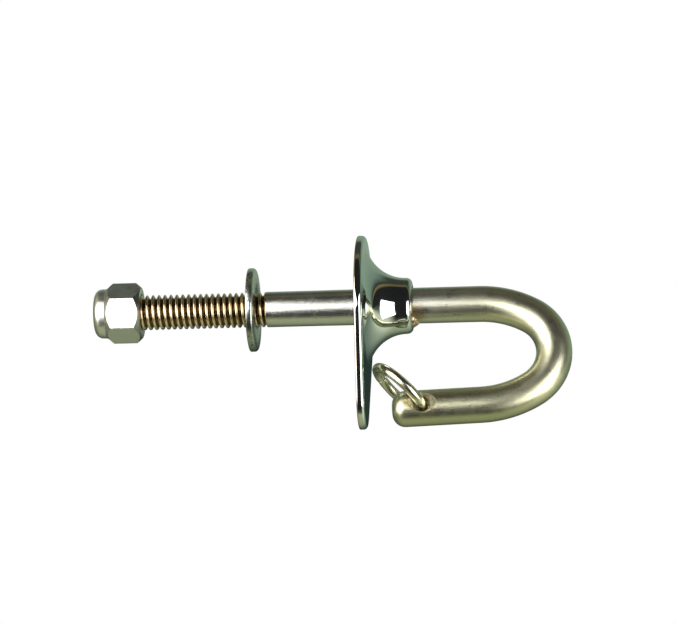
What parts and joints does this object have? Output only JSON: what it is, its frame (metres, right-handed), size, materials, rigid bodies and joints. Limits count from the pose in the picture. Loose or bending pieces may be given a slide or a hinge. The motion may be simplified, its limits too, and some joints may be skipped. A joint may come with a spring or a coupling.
{
  "type": "pad eye",
  "caption": "Stud-mounted hook eye of bent round bar with a flanged teardrop base plate, washer, lock nut and a keeper ring that closes the hook's mouth.",
  "frame": {"origin": "on the stud's axis, at the back face of the base plate", "axes": "+X along the stud, out of the plate's front and into the hook; +Z from the hook's tip towards the stud; the hook lies in the XZ plane"},
  "size_m": [0.1267, 0.0378, 0.0529],
  "materials": {
    "satin_steel": "satin polished stainless steel",
    "polished_steel": "mirror polished stainless steel",
    "weld": "heat-tinted weld",
    "washer_steel": "polished stainless steel",
    "nut_steel": "bright stainless steel",
    "nylon": "natural nylon",
    "ring_steel": "satin stainless wire"
  },
  "bodies": {
    "hook": {"hook_rod": "satin_steel", "base_plate": "polished_steel", "weld_bead": "weld"},
    "washer": {"flat_washer": "washer_steel"},
    "insert": {"nylon_insert": "nylon"},
    "nut": {"lock_nut": "nut_steel"},
    "ring": {"keeper_ring": "ring_steel"}
  },
  "joints": [
    {"name": "ring_swing", "type": "hinge", "parent": "hook", "child": "ring", "pos_m": [0.01681, 0, -0.02895], "axis": [0, 1, 0], "range_deg": [-2, 85]},
    {"name": "washer_slide", "type": "slide", "parent": "hook", "child": "washer", "axis": [1, 0, 0], "range_m": [-0.006, 0.0272]},
    {"name": "nut_travel", "type": "slide", "parent": "hook", "child": "insert", "axis": [1, 0, 0], "range_m": [0, 0.0223]},
    {"name": "nut_spin", "type": "hinge", "parent": "insert", "child": "nut", "pos_m": [-0.06, 0, 0], "axis": [1, 0, 0], "range_deg": [0, 5040]}
  ],
  "couplings": [
    {"joint": "nut_travel", "follows": "nut_spin", "m_per_rad": 0.00025266}
  ]
}
